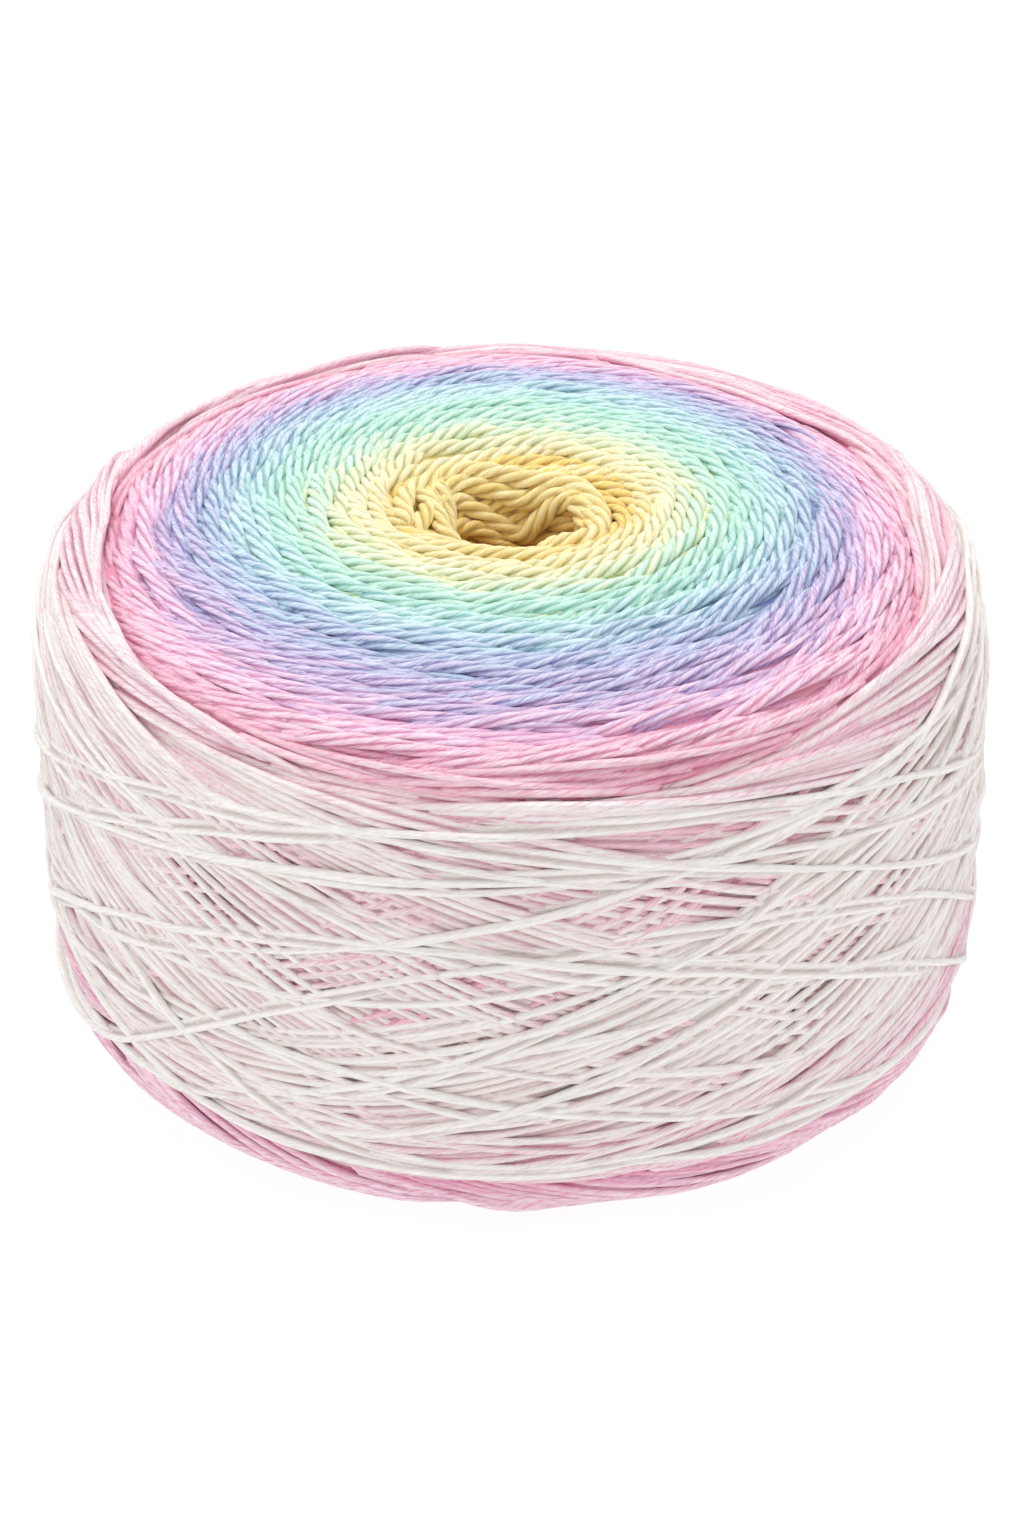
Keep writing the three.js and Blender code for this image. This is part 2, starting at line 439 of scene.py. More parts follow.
# %% Wind the outer layers
OVERLAP = 20    # steps that a round shares with the next, so that their heights can be blended
SETTLE_EVERY = 6
PAIR_TWIST = 83     # mm of a pressed pair in which its two strands change places


def joined(rounds):
    """One strand from its rounds: where two overlap, the height goes from the first to the second."""
    blend = np.linspace(0, 1, OVERLAP)
    for before, after in zip(rounds[:-1], rounds[1:]):
        after["height"][:OVERLAP] *= blend
        after["height"][:OVERLAP] += before["height"][-OVERLAP:] * (1 - blend)
    parts = [slice(0, -OVERLAP)] * (len(rounds) - 1) + [slice(None)]
    whole = dict(rounds[-1], step=np.mean([part["step"] for part in rounds]))
    for name in ("along", "turn", "width", "thick", "height", "dye"):
        whole[name] = np.concatenate([strand[name][part] for strand, part in zip(rounds, parts)])
    return whole


def wind_side(along, turn, dye, rounds, piece, width):
    """Lay a long path round by round, settle the pile now and then, and join the rounds to one strand."""
    before = len(strands)
    cuts = np.linspace(0, len(along), rounds + 1).astype(int)
    for order, (first, last) in enumerate(zip(cuts[:-1], cuts[1:])):
        pick = slice(first, min(last + OVERLAP, len(along)))
        wide = np.full(len(along[pick]), width)
        lay(along[pick], turn[pick], wide, wide * PRESSED, dye[pick], tail=pick.stop - last, kind="pair",
            piece=piece, lay_length=PAIR_TWIST)
        if order % SETTLE_EVERY == 0:
            settle()
    strands[before:] = [joined(strands[before:])]
    print(f"{rounds} rounds of {piece}")


for letter, stage in zip("abcd", SIDE_STAGES):
    along, turn, dye = stage_path(stage)
    wind_side(along, turn, dye, stage["rounds"], "side_wraps_" + letter, PAIR_WIDTH)

# %% [markdown]
# ## The last wraps
# The last wraps were guided by hand and stand proud. Each is a tilted ring with its own highest point,
# and the wraps below hold it at the shoulder. At the back the strand passes over from ring to ring.

# %% Wind the last wraps
# Columns: direction of the highest point in degrees, its height in mm, how far the ring falls below it
LAST_WRAPS = np.array([(-84, 64, 19), (-30, 27, 24), (57, 67, 25), (125, 79, 36), (99, 76, 36),
                       (-150, 74, 38), (170, 66, 30), (5, 63, 25), (-15, 68, 35), (7, 71, 34),
                       (16, 51, 58), (-8, 50, 45)])
LAST_WIDTH = 2.8
WHITE = 75.0    # the dye at the end of the strand
START_SHARE, POINTS_A_ROUND = 0.1, 800
SIDE_RISE, TOP_HELD_RISE = 4, 9     # rise of the wraps and of their limit beside
PASS_OVER = (0.38, 0.62)    # share of a round, halfway at the back, in which one ring becomes the next
LOWEST, HIGHEST = WIDEST - 38, WIDEST + 27
SIDE_ROWS = (along_table > LOWEST) & (along_table < HIGHEST)


def hold_between(value, least, most, soft=3.0):
    """The value, eased off below as least + soft * log(1 + e^((value - least) / soft)), and above alike."""
    value = least + soft * np.logaddexp(0, (value - least) / soft)
    return most - soft * np.logaddexp(0, (most - value) / soft)


def ring_height(row, turn):
    """Height of the rings in these rows of the table: top - fall * (1 - cos(turn - direction))."""
    degrees, top, fall = LAST_WRAPS[np.clip(row, 0, len(LAST_WRAPS) - 1)].T
    return top - fall * (1 - np.cos(turn - np.radians(degrees)))


rounds = np.linspace(START_SHARE, len(LAST_WRAPS) - START_SHARE, POINTS_A_ROUND * len(LAST_WRAPS))
turn = np.pi + rounds * math.tau
row = np.floor(rounds + 0.5).astype(int)
passed = smooth_step(rounds + 0.5 - row, *PASS_OVER)
height = (1 - passed) * ring_height(row - 1, turn) + passed * ring_height(row, turn)
at_height = np.interp(height, outline[SIDE_ROWS, 1], along_table[SIDE_ROWS])
at_height += np.minimum(height - outline[SIDE_ROWS, 1].min(), 0)
along = hold_between(at_height + SIDE_RISE * beside(turn), LOWEST, HIGHEST + TOP_HELD_RISE * beside(turn))
settle()
wind_side(along, turn, np.full(len(along), WHITE), len(LAST_WRAPS), "last_wraps", LAST_WIDTH)

# %% [markdown]
# ## Sections of the strand
# Near the middle the four plies make a round rope, and on the side the strand is pressed into a flat pair.
# A section lists the points of its rim, with the ply of each and the depth in a groove, which sets its
# painted shade. Carried along the path and rolled with the twist, it gives real plies.

# %% Sections
settle()
PLIES = 4
# Columns of a ply's rim points: share of the ply's angle, radius, groove depth, which sets the painted shade
BOLD_RIM = [(0.0, 0.64, 1.0), (0.22, 0.93, 0.3), (0.5, 1.05, 0.0), (0.78, 0.93, 0.3)]
SOFT_RIM = [(0.0, 0.66, 1.0), (0.33, 1.0, 0.08), (0.67, 1.0, 0.08)]


def rope_section(rim):
    """Rim of a rope: four plies round the middle. Gives x, y, groove (the share of painted shade) and ply for
    each point.
    """
    points = []
    for ply in range(PLIES):
        for share, radius, groove in rim:
            angle = 2 * np.pi * (ply + share) / PLIES
            points.append((radius * np.cos(angle), radius * np.sin(angle), groove, ply))
    return np.array(points)


def pair_section():
    """Rim of a flat pair: two round strands side by side, half as thick as wide."""
    points = []
    for side in (0, 1):
        for step, angle in enumerate(np.radians([-105, -35, 35, 105])):
            x, y = 0.5 + 0.5 * np.cos(angle), 0.5 * np.sin(angle)
            # groove is painted shade: some on the outer flanks, and full at the point between the two strands
            groove = 0.3 if step in (0, 3) else 0.0
            points.append((x, y, groove, step // 2) if side == 0 else (-x, -y, groove, 2 + step // 2))
        points.append((0, 0.1 * (1 if side == 0 else -1), 1.0, side * 2))
    return np.array(points)


SECTIONS = {"bold rope": rope_section(BOLD_RIM), "rope": rope_section(SOFT_RIM), "pair": pair_section()}
for name, section in SECTIONS.items():
    print(name, "has", len(section), "rim points")

# %% [markdown]
# ## From paths to meshes
# Curves with a bevel would give round tubes, but not plies, and they can't carry a dye for each ply. So
# each path sweeps its section into a grid of points, which is closed with a cap at each end.

# %% Find what is seen
HIDDEN = 0.68   # a stretch with this much yarn over it is left out
MARGIN = 4.5    # length of the ends that dive below what covers them, in mm
FIRM = 0.42     # how far from the surface the yarn begins to give way, in mm


def seen_runs(strand):
    """The stretches of a strand that nothing covers, with an end at each side that dives under others."""
    rows, cols = footprint(strand["along"], strand["turn"], strand["width"], np.linspace(-1.1, 1.1, 7))
    top = strand["height"] + 0.5 * strand["thick"]
    cover = (pile[rows, cols] - top[:, None]).min(1)
    margin = int(MARGIN / strand["step"])
    seen = np.convolve(cover < HIDDEN, np.ones(2 * margin + 1), mode="same") > 0
    edges = np.flatnonzero(np.diff(np.r_[0, seen.astype(int), 0]))
    return [(a, b) for a, b in zip(edges[::2], edges[1::2]) if b - a > margin]


def held(lift):
    """The lift of a strand's middle, pressed towards the surface: sign * firm * log(1 + size / firm)."""
    return np.sign(lift) * FIRM * np.log1p(np.abs(lift) / FIRM)


print(f"a strand that lies 2 mm too high is pressed down to {held(2.0):.2f} mm")

# %% [markdown]
# ## Twist and dye along a strand
# The section turns as it goes: evenly in a rope, and in quick half turns in a pressed pair, whose two
# strands change places. The dye was printed on the yarn before it was plied, so its plies don't match.

# %% Carry a section
STAGGER = np.array([-1.5, 0.5, -0.5, 1.5])  # how far each ply's dye is ahead, in mm of radius


def carry(centre, away, half, squash, roll, section):
    """Points of a section carried along a path: centre + side * x + up * y, with (x, y) turned by roll.
    side is across the path and away, and up is across the path and side."""
    forward = np.gradient(centre, axis=0)
    side = np.cross(away, forward)
    side /= np.linalg.norm(side, axis=1)[:, None]
    up = np.cross(forward, side)
    up /= np.linalg.norm(up, axis=1)[:, None]
    cos, sin = np.cos(roll)[:, None], np.sin(roll)[:, None]
    x = half[:, None] * (section[None, :, 0] * cos - section[None, :, 1] * sin)
    y = (half * squash)[:, None] * (section[None, :, 0] * sin + section[None, :, 1] * cos)
    points = centre[:, None, :] + side[:, None, :] * x[..., None] + up[:, None, :] * y[..., None]
    points[..., 2] = np.maximum(points[..., 2], 0.0)
    return points, y


def pair_roll(laid):
    """A pair lies flat, and its two strands change places quickly: pi * (t - 0.9 sin(2 pi t) / (2 pi))."""
    return np.pi * (laid - 0.9 * np.sin(math.tau * laid) / math.tau)


def dyes_along(dye, spread, run, section):
    """The dye at each point: the strand's own, plus 0.5 sin(run / 23), with each ply ahead or behind by
    STAGGER * spread * (1 + 0.5 sin(run / 87))."""
    dye = dye + 0.5 * np.sin(run / 23)
    spread = spread * (1 + 0.5 * np.sin(run / 87))
    return (dye[:, None] + STAGGER[section[:, 3].astype(int)][None, :] * spread[:, None]) / RADIUS


# %% [markdown]
# ## Sweeping one stretch
# The strand's values are read at even steps, and its section is carried along them. Yarn that lies deep gets
# painted shade, because light reaches it only between strands.

# %% Sweep a stretch
LEVEL = -0.2    # where the top of a strand on the level pile lies
DIVE, TAPER = 1.4, 0.6  # how deep an end dives in mm, and the share of its width that it loses
DEEP_START, DEEP_REACH = 0.45, 1.5  # how far below the surface the painted shade starts, and over what depth it grows, in mm


def sweep(strand, first, last, grid_step):
    """One seen stretch as a grid of points, with the dye of each, and the groove and the depth that set its
    painted shade. A pair rocks by 0.45 sin(run / 19), and its width swells by a share of 0.16 sin(run / 13)
    sin(run / 37)."""
    old = np.arange(first, last)
    length = (last - first) * strand["step"]
    count = max(int(length / grid_step), 4)
    new = np.linspace(first, last - 1, count)
    along, turn, height, width, thick, dye = (
        np.interp(new, old, strand[name][first:last])
        for name in ("along", "turn", "height", "width", "thick", "dye"))
    run = np.linspace(0, length, count)
    dive = DIVE * (1 - smooth_step(np.minimum(run, run[-1] - run), 0, MARGIN))
    level = LEVEL - 0.5 * thick
    lift = held(height) + level - dive
    centre = place(along, turn, lift)
    away = place(along, turn, lift + 0.5) - centre
    section = SECTIONS[strand["kind"]]
    run_in_all = run + strand["start"] + first * strand["step"]
    laid = run_in_all / strand["lay_length"]
    is_pair = strand["kind"] == "pair"
    roll = pair_roll(laid) if is_pair else -math.tau * laid
    squash = np.ones(count) if is_pair else thick / width
    if is_pair:
        roll = roll + 0.45 * np.sin(run_in_all / 19)
        width = width * (1 + 0.16 * np.sin(run_in_all / 13) * np.sin(run_in_all / 37))
    points, y = carry(centre, away, 0.5 * width * (1 - TAPER * (dive / DIVE) ** 3), squash, roll, section)
    # painted shade that grows with depth below the surface
    deep = np.clip((DEEP_START - (lift - level)[:, None] - y) / DEEP_REACH, 0, 1)
    groove = np.broadcast_to(section[None, :, 2], deep.shape)
    return points * MM, dyes_along(dye, strand["spread"], run_in_all, section), groove, deep, run_in_all


# %% [markdown]
# ## One mesh from many stretches
# Thousands of objects would be slow, so the stretches of a piece become one mesh. Each is a tube of quads
# with a fan of triangles at both ends, and brings its own UV map for the fibres.

# %% Join many sweeps into one mesh
RIM_LENGTH = 8.0    # mm round a strand, for its UV map, which is in cm
FIBRE_TWIST = 3.0   # how long the strand is for each length that its fibres drift round it


def ring_faces(rows, columns):
    """Faces of rings of points, and of two poles that come after them: quads between the rings, and a fan
    of triangles round each pole."""
    i, j = np.meshgrid(np.arange(rows - 1), np.arange(columns), indexing="ij")
    k = (j + 1) % columns
    quads = columns * np.stack([i, i, i + 1, i + 1], -1) + np.stack([j, k, k, j], -1)
    rim = np.arange(columns)
    turn, last, pole = (rim + 1) % columns, (rows - 1) * columns, np.full(columns, rows * columns)
    fans = [np.stack([pole, turn, rim], -1), np.stack([pole + 1, last + rim, last + turn], -1)]
    return quads.reshape(-1, 4), np.concatenate(fans)


def tube_uv(run, columns):
    """UV map of a tube's quads in cm: u along the strand, and v round it, which drifts with the fibres."""
    i, j = np.meshgrid(np.arange(len(run) - 1), np.arange(columns), indexing="ij")
    u, v = run / 10, np.arange(columns + 1) / columns * RIM_LENGTH / 10
    twist = u / FIBRE_TWIST
    corners = [(u[i], v[j] + twist[i]), (u[i], v[j + 1] + twist[i]),
               (u[i + 1], v[j + 1] + twist[i + 1]), (u[i + 1], v[j] + twist[i + 1])]
    return np.stack([np.stack(corner, -1) for corner in corners], -2).reshape(-1, 2)


def join_sweeps(name, sweeps):
    """One closed mesh of many sweeps, which each bring their points, dye, groove and depth (the painted
    shade) and length.
    """
    points, marks, quads, fans, quad_uv, fan_uv = [], [], [], [], [], []
    first = 0
    for grid, dye, groove, deep, run in sweeps:
        n, m = grid.shape[:2]
        points += [grid.reshape(-1, 3), grid[[0, -1]].mean(1)]
        values = np.stack([dye, groove, deep])
        marks.append(np.concatenate([values.reshape(3, -1), values[:, [0, -1]].mean(2)], 1))
        tube, caps = ring_faces(n, m)
        quads.append(first + tube)
        fans.append(first + caps)
        quad_uv.append(tube_uv(run, m))
        fan_uv += [np.tile([[end / 10, 0.5]], (3 * m, 1)) for end in run[[0, -1]]]
        first += n * m + 2
    marks = dict(zip(("dye", "groove", "deep"), np.concatenate(marks, 1)))
    parts = [np.concatenate(part) for part in (points, quads, fans, quad_uv + fan_uv)]
    return make_mesh(name, *parts, marks)


def add_object(name, data):
    """A new object in the scene, at the origin, that holds this data."""
    thing = bpy.data.objects.new(name, data)
    bpy.context.scene.collection.objects.link(thing)
    return thing


def make_mesh(name, points, quads, triangles, uv, marks):
    """A mesh object at the origin, with a UV map and named values on its points."""
    mesh = bpy.data.meshes.new(name)
    mesh.vertices.add(len(points))
    mesh.vertices.foreach_set("co", points.astype(np.float32).ravel())
    corners = np.r_[quads.ravel(), triangles.ravel()]
    mesh.loops.add(len(corners))
    mesh.loops.foreach_set("vertex_index", corners.astype(np.int32))
    starts = np.r_[np.arange(len(quads)) * 4, len(quads) * 4 + np.arange(len(triangles)) * 3]
    mesh.polygons.add(len(starts))
    mesh.polygons.foreach_set("loop_start", starts.astype(np.int32))
    mesh.update(calc_edges=True)
    mesh.shade_smooth()
    layer_uv = mesh.uv_layers.new(name="strand")
    layer_uv.data.foreach_set("uv", uv.astype(np.float32).ravel())
    for mark, values in marks.items():
        mesh.attributes.new(mark, "FLOAT", "POINT").data.foreach_set("value", values.astype(np.float32))
    print(f"{name}: {len(points)} points, {2 * len(quads) + len(triangles)} triangles")
    return add_object(name, mesh)


# %% [markdown]
# ## The strands that are seen
# Hundreds of metres of strand would be far too many faces, and most of it lies hidden. Only what the pile
# leaves in view is swept, in finer steps where the twist is short.

# %% Mesh the pieces
# Steps along a strand in mm
GRID_STEP = {"gold_crests": 1.0, "mint_crests": 1.25, "blue_crests": 1.6, "pink_crests": 2.0,
             "foot_middle": 2.0, "foot_crests": 4.0}
SIDE_STEP = 3.2
ANY_START = (0, 900)    # where in its twist a strand begins, in mm
OUTER_DYE, INNER_SPREAD, OUTER_SPREAD = 60, (0.6, 1.1), (0.7, 1.4)  # how far its plies' dyes lie apart

groups = {}
for strand in strands:
    strand["start"] = rng.uniform(*ANY_START)
    strand["spread"] = rng.uniform(*(INNER_SPREAD if strand["dye"].mean() < OUTER_DYE else OUTER_SPREAD))
    step = GRID_STEP.get(strand["piece"], SIDE_STEP)
    for first, last in seen_runs(strand):
        groups.setdefault(strand["piece"], []).append(sweep(strand, first, last, step))
pieces = [join_sweeps(name, sweeps) for name, sweeps in sorted(groups.items())]

# %% [markdown]
# ## The well
# The wall of the hole is the inside of the winding, one turn above the other. A Screw modifier could draw a
# spiral, but this coil has to follow the outline down to the blind floor, and shade off as it gets dark.

# %% Line the well
LINING_WIDTH, LINING_PITCH = 3.1, 2.8
LINING_LIFT = (-2.0, -0.5)  # at the rim, below the crests there, and down the well
GOLD = 9.0      # the dye of the innermost yarn
WELL_TWIST = 14.5   # mm of a rope in the well in which it turns once
END_LENGTH = 2.5    # mm at each end of a rope in which it tapers
LINING_FROM, LINING_STOP = 18.0, 2.0    # radius where the coil starts, and mm before the end where it stops


def rope(centre, away, width, dye, shade):
    """A round rope along a path, with its painted shade given for each point. The painted shade grows by 0.12
    for each mm that a point lies further in."""
    run = np.r_[0, np.cumsum(np.linalg.norm(np.diff(centre, axis=0), axis=1))]
    run_in_all = run + rng.uniform(*ANY_START)
    section = SECTIONS["bold rope"]
    ends = 1 - smooth_step(np.minimum(run, run[-1] - run), 0, END_LENGTH)
    roll = -math.tau * run_in_all / WELL_TWIST
    points, y = carry(centre, away, 0.5 * width * (1 - TAPER * ends**2), np.ones(len(run)), roll, section)
    deep = np.clip(shade[:, None] - 0.12 * y, 0, 1)
    groove = np.broadcast_to(section[None, :, 2], deep.shape)
    return points * MM, dyes_along(np.full(len(run), dye), 0.9, run_in_all, section), groove, deep, run_in_all


def well_shade(height):
    """How much painted shade the yarn gets down the well: 0 at its rim, and 1 below."""
    return smooth_step(HEIGHT - height, 2, 15)


wall = np.linspace(top_along(LINING_FROM), LENGTH - LINING_STOP, 2000)
turns = np.cumsum(np.gradient(wall)) / LINING_PITCH * math.tau + 0.25 * np.sin(wall)
lining = place(wall, turns, np.interp(radius_at(wall), [11, 16], LINING_LIFT[::-1]))
lining, _ = curve_through(lining[::20], 1.0)
axis = np.array([WELL_SHIFT, 0, HEIGHT + 10])   # above the well, from where the ropes are seen
well_parts = [rope(lining, axis - lining, LINING_WIDTH, GOLD, well_shade(lining[:, 2]))]

# %% [markdown]
# ## The dimple of the foot
# Underneath, the first turns close the winding's hole. They lie in a flat coil, like a rope mat, made as
# the lining of the well is.

# %% Line the dimple of the foot
DIMPLE_FROM, DIMPLE_TO = 1.2, 12.5
# DIMPLE_SHADE is a painted shade on the coil in the dimple under the foot
DIMPLE_LIFT, DIMPLE_DYE, DIMPLE_SHADE = -1.9, 12.0, 0.2
dimple = np.linspace(foot_along(DIMPLE_FROM), foot_along(DIMPLE_TO), 900)
turns = np.cumsum(np.gradient(dimple)) / LINING_PITCH * math.tau
lining, _ = curve_through(place(dimple, turns, np.full(len(dimple), DIMPLE_LIFT))[::10], 1.0)
below = np.array([0, 0, -60])
foot_coil = rope(lining, below - lining, LINING_WIDTH, DIMPLE_DYE, np.full(len(lining), DIMPLE_SHADE))
pieces.append(join_sweeps("foot_coil", [foot_coil]))

# %% [markdown]
# ## The turns that slid
# When the cake comes off the winder, the innermost turns collapse into the hole. A rope simulation could drop
# them there, but not the same way twice. They are given one by one, with a few points each.

# %% Turns that slid into the well
# Each row: thickness, dye, and points in mm: to the right, away from the viewer, and up
SLID_TURNS = [
    (3.4, 15, [(-16, -7, 85), (-17, -2, 85), (-16, 4, 85), (-13, 8, 85), (-8, 11.5, 85), (-3, 12, 84.5),
               (2.5, 11.5, 83.5), (7.5, 10.5, 83.5), (11, 8, 83.5), (13.5, 3, 82.5), (13.5, -4, 82.5),
               (11, -9, 83.5), (6, -12, 84)]),
    (3.2, 12, [(-15, 2, 83), (-13, 6, 84), (-8.5, 9, 84), (-3.5, 10, 82.5), (1.5, 9.5, 81), (6, 9.5, 82),
               (9, 8, 82), (11, 4, 81), (12, -1, 80)]),
    (3.3, 13, [(-12, 3, 83), (-9.5, 6.5, 82.5), (-5.5, 7.5, 80), (-2, 7.5, 77.5), (1.5, 7, 76),
               (4, 7.5, 78), (7, 8, 81), (10.5, 6.5, 82.5), (12.5, 2, 81.5), (12, -4, 81.5),
               (9, -8.5, 82.5), (4, -11, 83)]),
    (3.0, 8, [(-12, -1, 82), (-10, 2, 80), (-6, 5.5, 78), (-2.5, 6, 75.5), (1, 5.5, 73), (4, 4, 71)]),
    (3.0, 14, [(-16, 6, 84), (-13.5, 3, 84.5), (-11.5, -1, 83.5), (-10.5, -5, 82.5), (-8, -8, 82)]),
    (2.9, 14, [(-12.5, 8.5, 85), (-11, 6, 84), (-10, 3, 81.5), (-10, -1, 79.5), (-8, -4, 77)]),
    (3.0, 12, [(-15.5, -10, 81.5), (-14.5, -6, 84), (-13.5, -2, 84.3), (-13, 2, 83.8), (-13, 6, 84),
               (-14, 10, 83.5)]),
    (3.2, 15, [(-15, -9, 84), (-11, -11, 83.5), (-6, -12.5, 83), (0, -13, 82.5), (6, -12, 82.5),
               (11, -9, 83)]),
    (2.9, 9, [(11, 5, 79), (10, -1, 77), (7, -5, 75), (2, -6.5, 74), (-4, -5.5, 75), (-8, -2, 77)]),
]

for thickness, dye, points in SLID_TURNS:
    centre, _ = curve_through(points, 1.0)
    well_parts.append(rope(centre, axis - centre, thickness, dye, well_shade(centre[:, 2])))
pieces.append(join_sweeps("well_turns", well_parts))

# %% [markdown]
# ## The deeper layers
# Between the strands one sees the layers below. A copy of the solid, pushed inwards, would show its broad
# wraps, so the same outline is turned into a plain skin that lies a little deeper.

# %% Core
CORE_ROWS, CORE_COLUMNS = 138, 180
CORE_DEPTH = 1.75   # mm below the outline
CORE_GROOVE, CORE_DEEP = 0.3, 0.7   # how much painted shade it shows, from the groove and from depth
core_rows = np.linspace(0, LENGTH, CORE_ROWS + 2)
core_turns = np.linspace(0, math.tau, CORE_COLUMNS + 1)[:-1]
skin = place(core_rows[1:-1, None], core_turns[None, :], np.full((CORE_ROWS, CORE_COLUMNS), -CORE_DEPTH))
poles = place(core_rows[[0, -1]], np.zeros(2), np.array([0, -CORE_DEPTH]))
points = np.concatenate([skin.reshape(-1, 3), poles]) * MM
quads, fans = ring_faces(CORE_ROWS, CORE_COLUMNS)
core_dye = np.r_[np.repeat(radius_at(core_rows[1:-1]) / RADIUS, CORE_COLUMNS), 0, 0]
core_marks = dict(dye=core_dye, groove=np.full_like(core_dye, CORE_GROOVE),
                  deep=np.full_like(core_dye, CORE_DEEP))
no_uv = np.zeros((4 * len(quads) + 3 * len(fans), 2))
pieces.append(make_mesh("core_layers", points, quads, fans, no_uv, core_marks))

# %% [markdown]
# ## Dye and fibre
# One material serves the strand everywhere, because it is one strand. Its colour comes from the dye value of
# each ply, read through two colour ramps: one for the lit crests, and one for a darker, saturated copy that
# is painted shade in the grooves and on deep yarn.

# %% Dyes
# Columns: radius where the colour is, lit colour, groove colour (a darker copy that is painted shade)
DYES_LIT_AND_SHADED = [
    (9, (0.98, 0.88, 0.50), (0.83, 0.61, 0.15)),
    (15, (0.99, 0.935, 0.70), (0.90, 0.77, 0.37)),
    (21, (0.985, 0.96, 0.81), (0.89, 0.83, 0.50)),
    (26.5, (0.94, 0.965, 0.85), (0.77, 0.85, 0.58)),
    (30.5, (0.86, 0.965, 0.90), (0.58, 0.83, 0.69)),
    (36, (0.80, 0.95, 0.90), (0.44, 0.78, 0.69)),
    (41, (0.86, 0.95, 0.96), (0.46, 0.74, 0.80)),
    (45.5, (0.80, 0.88, 0.95), (0.31, 0.50, 0.71)),
    (49.5, (0.84, 0.845, 0.945), (0.37, 0.37, 0.70)),
    (52.5, (0.89, 0.81, 0.93), (0.50, 0.33, 0.66)),
    (55.5, (0.97, 0.865, 0.94), (0.86, 0.51, 0.76)),
    (59, (0.98, 0.855, 0.915), (0.88, 0.44, 0.64)),
    (65, (0.975, 0.845, 0.89), (0.88, 0.43, 0.59)),
    (67.5, (0.965, 0.915, 0.925), (0.90, 0.60, 0.69)),
    (70.5, (0.965, 0.95, 0.94), (0.92, 0.78, 0.785)),
    (74, (0.975, 0.965, 0.95), (0.93, 0.86, 0.84)),
]


def linear(colour):
    """A screen colour as the linear light that the shader works in."""
    return [c / 12.92 if c < 0.04045 else ((c + 0.055) / 1.055) ** 2.4 for c in colour] + [1]


def dye_ramp(tree, dye, column):
    """The colours of one column of the dye table, read at the dye: the lit colours, or the painted-shade
    colours of the grooves.
    """
    ramp = tree.nodes.new("ShaderNodeValToRGB")
    tree.links.new(dye, ramp.inputs["Fac"])
    stops = ramp.color_ramp.elements
    for order, row in enumerate(DYES_LIT_AND_SHADED):
        stop = stops[order] if order < 2 else stops.new(row[0] / RADIUS)
        stop.position = row[0] / RADIUS
        stop.color = linear(row[column])
    return ramp.outputs["Color"]


print(f"{len(DYES_LIT_AND_SHADED)} dyes from {DYES_LIT_AND_SHADED[0][0]} to {DYES_LIT_AND_SHADED[-1][0]} mm")

# %% [markdown]
# ## Fibres
# Close by, each ply shows bundles of fibres that run along it. An image could hold them, but noise that is
# squeezed across the strand never repeats.

# %% Shader helpers
def attribute(tree, name):
    """The value that the mesh stores under this name."""
    node = tree.nodes.new("ShaderNodeAttribute")
    node.attribute_name = name
    return node.outputs["Fac"]


def set_inputs(node, **inputs):
    """Set inputs of a node by name."""
    for name, value in inputs.items():
        node.inputs[name.replace("_", " ")].default_value = value


def node_with(tree, kind, **inputs):
    """A new shader node with some of its inputs set."""
    node = tree.nodes.new(kind)
    set_inputs(node, **inputs)
    return node


def streaks(tree, scale, detail):
    """Fibre streaks: noise on the strand's own UV map, squeezed across the strand."""
    strand_map = tree.nodes.new("ShaderNodeUVMap")
    strand_map.uv_map = "strand"
    squeeze = node_with(tree, "ShaderNodeMapping", Scale=scale)
    noise = node_with(tree, "ShaderNodeTexNoise", Scale=1.0, Detail=detail, Roughness=0.6)
    tree.links.new(strand_map.outputs["UV"], squeeze.inputs["Vector"])
    tree.links.new(squeeze.outputs["Vector"], noise.inputs["Vector"])
    return noise.outputs["Fac"]


def mixed(tree, blend, factor, first, second):
    """Two colours mixed in a blend mode. The factor and the colours may be sockets or values."""
    mix = tree.nodes.new("ShaderNodeMix")
    mix.data_type, mix.blend_type = "RGBA", blend
    for socket, value in (("Factor", factor), ("A", first), ("B", second)):
        if isinstance(value, bpy.types.NodeSocket):
            tree.links.new(value, mix.inputs[socket])
        else:
            mix.inputs[socket].default_value = value
    return mix.outputs["Result"]


def combined(tree, operation, first, second):
    """Two values joined by an operation."""
    node = tree.nodes.new("ShaderNodeMath")
    node.operation = operation
    tree.links.new(first, node.inputs[0])
    tree.links.new(second, node.inputs[1])
    return node.outputs[0]


def remap(tree, value, low, high, to_low, to_high):
    """A value moved from one range to another, and kept inside the second."""
    node = node_with(tree, "ShaderNodeMapRange", From_Min=low, From_Max=high, To_Min=to_low, To_Max=to_high)
    tree.links.new(value, node.inputs["Value"])
    return node.outputs["Result"]


# %% [markdown]
# ## The yarn
# The groove colour, which is painted shade, shows between the plies, deep between the strands and in streaks
# where fibres part. Pale fibres, partly painted sheen, lie over it, a thin painted shadow marks the line
# between two plies, and a little sheen makes it cotton.

# %% Yarn material
BUNDLES, FIBRES = (2.2, 24, 1), (5, 60, 1)  # streaks for each cm along the strand and round it
# pale fibres: partly the yarn's own pale fibres and partly painted sheen; the ply line colour is a painted
# shadow
PALE_FIBRE_AND_SHEEN, PLY_LINE_SHADOW = (0.9, 0.9, 0.88), (0.91, 0.9, 0.9)
# Ranges that a value is moved from and to
GROOVE_SHADE, GROOVE_LINE_SHADOW = (0.15, 1.0, 0.0, 0.85), (0.25, 1.0, 0.0, 1.0)
BUNDLE_SHADE, BUNDLE_ROUGHNESS = (0.34, 0.54, 0.6, 0.0), (0.3, 0.7, 0.82, 0.66)
FIBRE_PALE_AND_SHEEN, FIBRE_BUMP = (0.5, 0.7, 0.0, 0.45), (0, 1, 0, 0.4)


